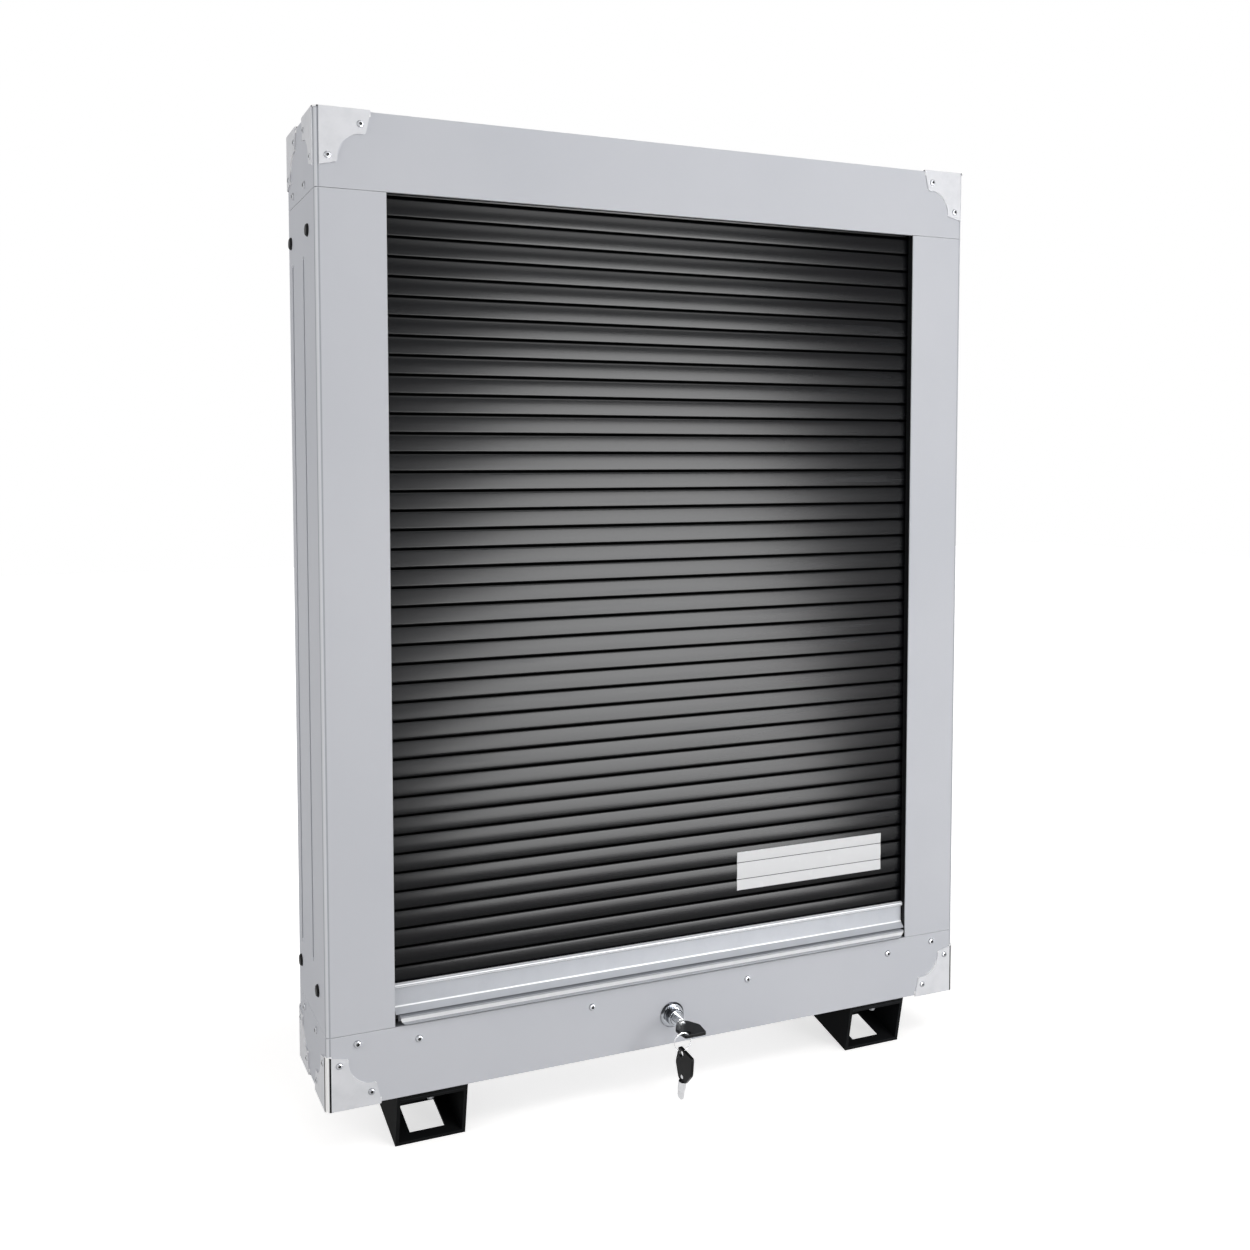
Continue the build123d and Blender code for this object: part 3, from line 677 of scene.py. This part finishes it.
slat_places = []
for number in range(slat_count):
    slat_places.append(Matrix.Translation((0, slat_middle_y, bar_top_slat + number * slat_pitch)))
curtain = piece(
    "shutter_slats",
    drawn(slat_outline(), slat_half_length),
    slat_places,
    slat_finish(),
    "cabinet",
    smooth=40,
)
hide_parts("slat_curtain")
faces_to_a_slat = len(slat_outline()) + 2
shown_faces = range(1, len(slat_front()) + 4)
hidden_faces = [index for index in range(faces_to_a_slat) if index not in shown_faces]
# The slats' faces inside the joints get the painted shade.
two_tone(curtain, painted_groove_shade_and_dust(), faces_to_a_slat, hidden_faces)
shutter_joint = next(joint for joint in frame["joints"] if joint["name"] == "shutter_slide")
shutter_range = shutter_joint["range_m"][1]
gathered = 1 - (shutter_range + hook_room) / (squash_anchor - shutter_low.z)
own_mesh(curtain)


# Blank label on the lower right of the shutter: white vinyl film, cut along each groove so that
# the slats can still bend. It is bare.

label_left = 0.071
label_right = 0.230
label_bottom = -0.272
label_top = -0.235
label_white = (226, 227, 229)
film = 0.0002
label_overhang = 0.0007


def label_strip(base):
    """Part of the label on the slat at that level, following its crown, or None off the label."""
    front = slat_front()
    front = [(front[0][0], front[0][1] - slat_roll - label_overhang), *front]
    front.append((front[-1][0], front[-1][1] + slat_roll + label_overhang))
    ahead = [(y - film, base + z) for y, z in front if label_bottom < base + z < label_top]
    if len(ahead) < 2:
        return None
    behind = [(y + film, z) for y, z in reversed(ahead)]
    points, faces = drawn([*ahead, *behind], (label_right - label_left) / 2)
    shift = Vector(((label_left + label_right) / 2, slat_middle_y, 0))
    return [point + shift for point in points], faces


strips = [label_strip(bar_top_slat + number * slat_pitch) for number in range(slat_count)]
label_shape = joined(strip for strip in strips if strip)
label_film = moulded("label_film", label_white, roughness=0.5, gloss=0.05)
label = piece("blank_label", label_shape, [Matrix()], label_film, "cabinet")
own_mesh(label)


# Bottom bar of the shutter: an aluminium extrusion with a top bead, a sloping face and a lifting
# lip, satin silver. Plastic glides close its ends, a rubber strip seals it, a steel strike hooks
# behind the lock's cam.

bar_silver = (184, 187, 193)
bar_silver_dull = (176, 179, 186)
# Painted shade on the bar's level faces and lip, and a painted highlight on its ridges' edges.
bar_painted_top_shade = (150, 153, 159)
bar_painted_lip_shade = (162, 165, 171)
bar_painted_edge_highlight = (246, 247, 249)
bar_lip_level = -0.3312
bar_radius = 0.0007
glide_edge = 0.0003
seal_edge = 0.0002
rubber_black = (22, 22, 23)


def painted_bar_shading(place, plate):
    """Painted shade on level faces and on the lip's face, and a painted highlight along the ridges'
    edges.
    """
    height = place.node("SeparateXYZ", {}, {0: place}, "Z")
    up = facings(place)[2]
    level = bends(place)[1]
    lip = 1 - rise(height, bar_lip_level, bar_lip_level + 0.0002)
    faces = mixed(rise(up, 0.8, 0.95), mixed(lip, plate, colour(*bar_painted_lip_shade)), colour(*bar_painted_top_shade))
    return mixed(rise(level, 0.25, 0.5) - rise(level, 0.88, 0.94), faces, colour(*bar_painted_edge_highlight))


bar_satin = plated(
    "bar_satin",
    bar_silver,
    bar_silver_dull,
    metal=0.03,
    roughness=0.4,
    gloss=0.08,
    base=painted_bar_shading,
)
coated(("bottom_bar",), bar_satin, bar_radius)
coated(("bar_glide_left", "bar_glide_right"), track_plastic, glide_edge)
seal_rubber = moulded("seal_rubber", rubber_black, roughness=0.7)
coated(("bar_seal",), seal_rubber, seal_edge)
coated(("bar_strike",), screw_zinc, screw_edge)


# Cam lock: a die-cast housing with a round flange and a turning plug, chrome plated, held from
# behind by a nut. A screw holds the zinc-plated steel cam to the plug's rear end.

chrome_bright = (150, 153, 158)
chrome_dull = (120, 123, 128)
# Painted reflection of a dark ceiling on the chrome's upward faces.
chrome_painted_ceiling_reflection = (26, 28, 32)
painted_ceiling_share = 0.9
lock_edge = 0.0003


def painted_chrome_ceiling(place, plate):
    """Painted reflection: chrome that looks upwards gets the dark of a room's ceiling."""
    up = facings(place)[2]
    ceiling = painted_ceiling_share * (rise(up, 0.05, 0.3) - rise(up, 0.8, 0.95))
    return mixed(ceiling, plate, colour(*chrome_painted_ceiling_reflection))


lock_chrome = plated(
    "lock_chrome",
    chrome_bright,
    chrome_dull,
    metal=1.0,
    roughness=0.12,
    gloss=0.5,
    base=painted_chrome_ceiling,
)
coated(("lock_body", "lock_plug"), lock_chrome, lock_edge)
coated(("lock_nut", "lock_cam", "cam_screw"), screw_zinc, screw_edge)


# Keys: flat nickel-plated steel blades in moulded black heads, each with a bright eye in its
# neck. One is in the lock, the spare hangs from it on a ring of spring wire wound twice.

key_black = (8, 8, 10)
key_bright = (205, 206, 208)
key_dull = (168, 169, 172)
head_edge = 0.0005
blade_edge = 0.0003
ring_radius = 0.008
wire_radius = 0.0003
eye_radius = 0.0018
eye_half = 0.0016
eye_rim = 0.7
eye_straight = 0.9
eye_setback = 0.004
spare_turn = 7
spare_lean = 12
spare_eye = (0, -0.0058, -0.0218)


def wire_ring(radius, wire, steps=72, sides=12):
    """Ring of round wire about +Y."""
    points = []
    faces = []
    for step in range(steps):
        turn = 2 * math.pi * step / steps
        for side in range(sides):
            angle = 2 * math.pi * side / sides
            reach = radius + wire * math.cos(angle)
            y = wire * math.sin(angle)
            points.append(Vector((reach * math.cos(turn), y, reach * math.sin(turn))))
            here = step * sides
            after = (step + 1) % steps * sides
            beside = (side + 1) % sides
            faces.append((here + side, here + beside, after + beside, after + side))
    return points, faces


key_plastic = moulded("key_plastic", key_black, roughness=0.3, gloss=0.1)
coated(("key_head", "spare_key_head"), key_plastic, head_edge)
key_steel = plated("key_steel", key_bright, key_dull, metal=1.0, roughness=0.2, gloss=0.5)
coated(("key_blade", "spare_key_blade"), key_steel, blade_edge)
ring_low, ring_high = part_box("key_ring")
ring_middle = (ring_low + ring_high) / 2
coils = [Matrix.Translation(ring_middle + Vector((0, side * wire_radius, 0))) for side in (-1, 1)]
coil = wire_ring(ring_radius, wire_radius)
ring = piece("split_ring", coil, coils, key_steel, "ring")
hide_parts("key_ring")
eye_rings = [(-eye_half, eye_rim * eye_radius), (-eye_straight * eye_half, eye_radius)]
eye_rings += [(eye_straight * eye_half, eye_radius), (eye_half, eye_rim * eye_radius)]
eye = turned(eye_rings, button_sides)
head_low, head_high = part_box("key_head")
eye_place = facing(0, head_high.y - eye_setback, (head_low.z + head_high.z) / 2, (0, 0, 1))
piece("key_eye", eye, [eye_place], key_steel, "key")
hung = Matrix.Rotation(math.radians(spare_turn), 4, "Z")
hung = hung @ Matrix.Rotation(math.radians(spare_lean), 4, "X")
lowest_wire = Matrix.Translation(ring_middle - Vector((0, 0, ring_radius)))
spare_place = lowest_wire @ hung @ facing(*spare_eye, (1, 0, 0))
piece("spare_key_eye", eye, [spare_place], key_steel, "spare_key")


# Brackets below the cabinet: 3 mm steel, cut, bent and welded, with a coarse black powder coat.
# Screws with nuts hold each one to the bottom rail.

bracket_black = (8, 9, 10)
bracket_shade = (16, 17, 20)
bracket_painted_bend_highlight = (44, 46, 50)
bracket_radius = 0.0006
nut_edge = 0.0004

# The coat's bends get a painted light middle; their painted dark lines are the coat's own black.
bracket_coat = powder_coat(
    "bracket_coat",
    bracket_black,
    bracket_shade,
    bracket_black,
    bracket_painted_bend_highlight,
    roughness=0.75,
)
coated(("bracket_left", "bracket_right"), bracket_coat, bracket_radius)
coated(("bracket_screws",), screw_zinc, nut_edge)


# The studio: a pale floor at the brackets' lowest edge, a white surround and soft boxes in front
# on the right, on the left and above. Two more light gloss alone: the tall one slants up before
# the shutter and gives the slats their highlight, the other adds to it on the upper slats.

floor_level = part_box("bracket_left")[0].z
floor_half = 6
floor_grey = (226, 224, 222)
floor_lift = 0.66
shadow_width = 0.5
shadow_depth = 0.24
shadow_start = 0.8
shadow_end = 1.9
surround = 0.33
box_watts = 13
fill_watts = 13
top_watts = 8
gleam_watts = 88
top_gleam_watts = 18


def shown_rays(place):
    """Share of 1 for the camera's rays and those that metal, gloss or glass send on."""
    kinds = ("Is Camera Ray", "Is Glossy Ray", "Is Transmission Ray")
    camera_ray, glossy_ray, through_ray = [place.node("LightPath", output=kind) for kind in kinds]
    return camera_ray + glossy_ray + through_ray


def studio_floor():
    """Pale floor that keeps the object's shadow and is seen as white away from it."""
    mesh = bpy.data.meshes.new("floor")
    signs = ((-1, -1), (1, -1), (1, 1), (-1, 1))
    corners = [(x * floor_half, y * floor_half, floor_level) for x, y in signs]
    mesh.from_pydata(corners, [], [(0, 1, 2, 3)])
    made = bpy.data.objects.new("floor", mesh)
    bpy.context.scene.collection.objects.link(made)
    material, place = start("floor_white")
    flat = stretched(place, 1 / shadow_width, 1 / shadow_depth, 0)
    away = flat.node("VectorMath", {"operation": "LENGTH"}, {0: flat}, "Value")
    beyond = rise(away, shadow_start, shadow_end)
    lift = shown_rays(place) * (floor_lift + (1 - floor_lift) * beyond)
    finished(
        material,
        place,
        Base_Color=colour(*floor_grey),
        Roughness=0.8,
        Emission_Color=mixed(lift, (0, 0, 0, 1), (1, 1, 1, 1)),
        Emission_Strength=1.0,
    )
    mesh.materials.append(material)


def studio_surround():
    """White seen by the camera and in gloss, and an even soft light for everything else."""
    world = bpy.data.worlds.new("surround")
    bpy.context.scene.world = world
    world.use_nodes = True
    world.node_tree.nodes.clear()
    base = Wire(world.node_tree)
    light = base.node("Background", {}, {"Color": (1, 1, 1, 1), "Strength": surround})
    white = base.node("Background", {}, {"Color": (1, 1, 1, 1), "Strength": 1.0})
    shown = base.node("MixShader", {}, {0: shown_rays(base), 1: light, 2: white})
    shown.node("OutputWorld", {}, {"Surface": shown})


def soft_box(name, place, aim, width, height, watts):
    """Soft lamp with a rectangular face that looks at a point."""
    lamp = bpy.data.lights.new(name, "AREA")
    lamp.shape = "RECTANGLE"
    lamp.size = width
    lamp.size_y = height
    lamp.energy = watts
    made = bpy.data.objects.new(name, lamp)
    made.location = place
    made.rotation_euler = (Vector(aim) - Vector(place)).to_track_quat("-Z", "Y").to_euler()
    bpy.context.scene.collection.objects.link(made)
    return made


studio_floor()
studio_surround()
soft_box(
    "main_box", place=(0.85, -2.0, -0.03), aim=(0.1, 0, 0), width=0.8, height=0.78, watts=box_watts
)
soft_box(
    "left_box", place=(-2.2, -0.6, 0.6), aim=(-0.3, 0, 0), width=1.0, height=1.2, watts=fill_watts
)
soft_box(
    "top_box",
    place=(0.5, -1.15, 1.3),
    aim=(0.1, -0.06, 0.2),
    width=1.0,
    height=0.6,
    watts=top_watts,
)
gleam_box = soft_box(
    "gleam_box",
    place=(0.535, -1.33, -0.015),
    aim=(0.303, -0.834, 0.821),
    width=0.6,
    height=1.56,
    watts=gleam_watts,
)
top_gleam_box = soft_box(
    "top_gleam_box",
    place=(0.75, -1.9, 1.05),
    aim=(0, -0.1, 0.3),
    width=0.8,
    height=0.5,
    watts=top_gleam_watts,
)
gleam_box.visible_diffuse = False
top_gleam_box.visible_diffuse = False


# The camera stands to the left of the cabinet, a little above its middle, and looks slightly
# down. Its place and lens follow from the cabinet's corners in the photograph.

camera_place = (-0.511957, -1.146291, 0.124516)
camera_turn = 23.363
camera_tilt = 3.2785
camera_roll = 0.075
camera_lens = 37.4536
camera_shift = (0.018145, -0.070679)
camera_sensor = 36

camera = bpy.data.cameras.new("camera")
camera.sensor_width = camera_sensor
camera.lens = camera_lens
camera.shift_x, camera.shift_y = camera_shift
stand = bpy.data.objects.new("camera", camera)
turn = Matrix.Rotation(math.radians(-camera_turn), 4, "Z")
tilt = Matrix.Rotation(math.radians(90 - camera_tilt), 4, "X")
roll = Matrix.Rotation(math.radians(-camera_roll), 4, "Z")
stand.matrix_world = Matrix.Translation(camera_place) @ turn @ tilt @ roll
bpy.context.scene.collection.objects.link(stand)
bpy.context.scene.camera = stand
bpy.context.scene.view_settings.view_transform = "Standard"
